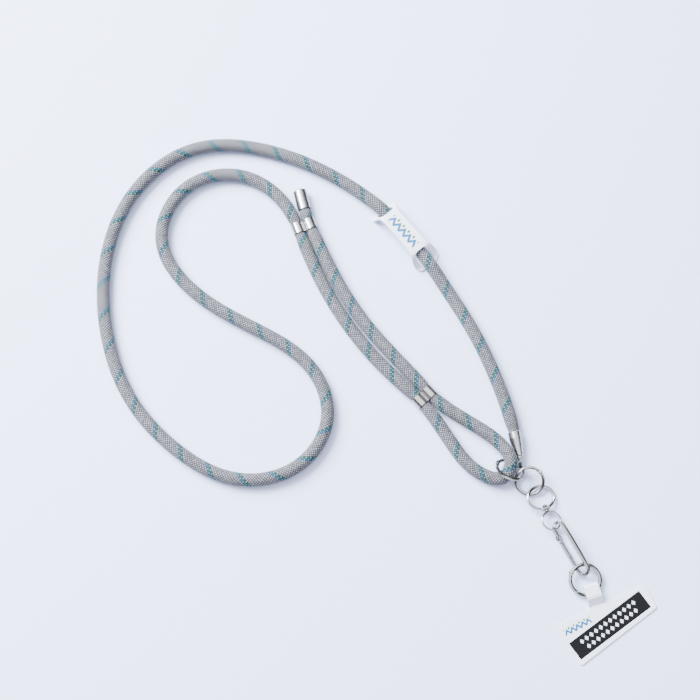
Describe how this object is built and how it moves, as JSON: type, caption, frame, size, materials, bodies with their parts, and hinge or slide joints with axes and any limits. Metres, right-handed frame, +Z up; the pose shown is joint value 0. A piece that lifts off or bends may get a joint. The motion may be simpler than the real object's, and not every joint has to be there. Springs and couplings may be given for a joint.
{
  "type": "phone strap",
  "caption": "Long round braided rope strap with metal sliders, split rings, a swivel, an oval snap hook and a flat tether tab for a phone case.",
  "frame": {"origin": "middle of the bounding box of the fittings, tag and tab, on the plane that the strap lies on", "axes": "+Z up from that plane; +Y away from the viewer, towards the end cap; the snap hook and the tab are at the near right"},
  "size_m": [0.3287, 0.3196, 0.0139],
  "materials": {
    "braid": "matte",
    "satin_metal": "satin",
    "bright_metal": "polished",
    "white_plastic": "satin"
  },
  "bodies": {
    "strap": {"rope": "braid", "rope_end_cap": "satin_metal", "top_slider": "satin_metal", "lower_slider": "satin_metal", "name_tag": "white_plastic", "cone_ferrule": "satin_metal", "strap_ring": "bright_metal", "link_ring": "bright_metal", "swivel_loop": "bright_metal"},
    "strap_gate": {"strap_ring_gate": "bright_metal"},
    "link_gate": {"link_ring_gate": "bright_metal"},
    "swivel": {"swivel_eye": "bright_metal", "hook_body": "bright_metal", "tether_ring": "bright_metal", "tether_tab": "white_plastic"},
    "hook_lever": {"hook_gate": "bright_metal"},
    "tether_gate": {"tether_ring_gate": "bright_metal"}
  },
  "joints": [
    {"name": "strap_gate_hinge", "type": "hinge", "parent": "strap", "child": "strap_gate", "pos_m": [0.01658, -0.02755, 0.00646], "axis": [0.2654, 0.6301, 0.7298], "range_deg": [0, 18], "stiffness_Nm_per_rad": 0.004, "springref_deg": -11.46},
    {"name": "link_gate_hinge", "type": "hinge", "parent": "strap", "child": "link_gate", "pos_m": [0.04135, -0.03317, 0.00702], "axis": [-0.1098, -0.3699, 0.9225], "range_deg": [0, 18], "stiffness_Nm_per_rad": 0.004, "springref_deg": -11.46},
    {"name": "swivel_turn", "type": "hinge", "parent": "strap", "child": "swivel", "pos_m": [0.04418, -0.05378, 0.00355], "axis": [0.3773, -0.9225, 0.0814], "continuous": true},
    {"name": "hook_gate_hinge", "type": "hinge", "parent": "swivel", "child": "hook_lever", "pos_m": [0.05139, -0.07101, 0.00189], "axis": [-0.6307, -0.3459, 0.6947], "range_deg": [0, 12], "stiffness_Nm_per_rad": 0.004, "springref_deg": -11.46},
    {"name": "tether_gate_hinge", "type": "hinge", "parent": "swivel", "child": "tether_gate", "pos_m": [0.05788, -0.09148, 0.0047], "axis": [0.1029, -0.099, 0.9898], "range_deg": [0, 15], "stiffness_Nm_per_rad": 0.004, "springref_deg": -11.46}
  ]
}
